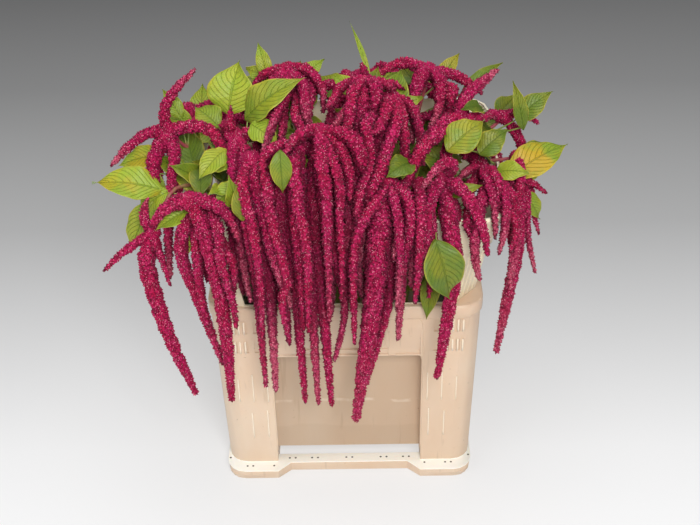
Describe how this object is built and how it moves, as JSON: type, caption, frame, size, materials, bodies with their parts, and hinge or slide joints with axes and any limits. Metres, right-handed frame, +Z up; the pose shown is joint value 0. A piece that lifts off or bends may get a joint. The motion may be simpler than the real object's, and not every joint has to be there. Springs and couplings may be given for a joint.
{
  "type": "cut love-lies-bleeding stems in a flower transport container",
  "caption": "Leafy cut amaranth stems with long hanging crimson flower tassels, standing in water in a tall moulded plastic container with a slotted collar.",
  "frame": {"origin": "on the ground under the middle of the whole object's footprint", "axes": "+Z up, -Y is the front as pictured, +X the viewer's right and along the container's long side"},
  "size_m": [0.6534, 0.487, 0.7039],
  "materials": {
    "container_plastic": "matte",
    "collar_plastic": "matte",
    "water": "gloss",
    "leaf_and_stem": "satin",
    "flower_tassel": "matte"
  },
  "bodies": {
    "root": {"container": "container_plastic", "collar": "collar_plastic", "water": "water", "stem_01": "leaf_and_stem", "stem_02": "leaf_and_stem", "stem_03": "leaf_and_stem", "stem_04": "leaf_and_stem", "stem_05": "leaf_and_stem", "stem_06": "leaf_and_stem", "stem_07": "leaf_and_stem", "stem_08": "leaf_and_stem", "stem_09": "leaf_and_stem", "stem_10": "leaf_and_stem", "stem_11": "leaf_and_stem", "stem_12": "leaf_and_stem", "stem_13": "leaf_and_stem", "stem_14": "leaf_and_stem", "stem_15": "leaf_and_stem", "stem_16": "leaf_and_stem", "stem_17": "leaf_and_stem", "stem_18": "leaf_and_stem", "stem_19": "leaf_and_stem", "stem_20": "leaf_and_stem", "stem_21": "leaf_and_stem", "stem_22": "leaf_and_stem", "stem_23": "leaf_and_stem", "stem_24": "leaf_and_stem", "tassels_01": "flower_tassel", "tassels_02": "flower_tassel", "tassels_03": "flower_tassel", "tassels_04": "flower_tassel", "tassels_05": "flower_tassel", "tassels_06": "flower_tassel", "tassels_07": "flower_tassel", "tassels_08": "flower_tassel", "tassels_09": "flower_tassel", "tassels_10": "flower_tassel", "tassels_11": "flower_tassel", "tassels_12": "flower_tassel", "tassels_13": "flower_tassel", "tassels_14": "flower_tassel", "tassels_15": "flower_tassel", "tassels_16": "flower_tassel", "tassels_17": "flower_tassel", "tassels_18": "flower_tassel", "tassels_19": "flower_tassel", "tassels_20": "flower_tassel", "tassels_21": "flower_tassel", "tassels_22": "flower_tassel", "tassels_23": "flower_tassel", "tassels_24": "flower_tassel"}
  },
  "joints": []
}
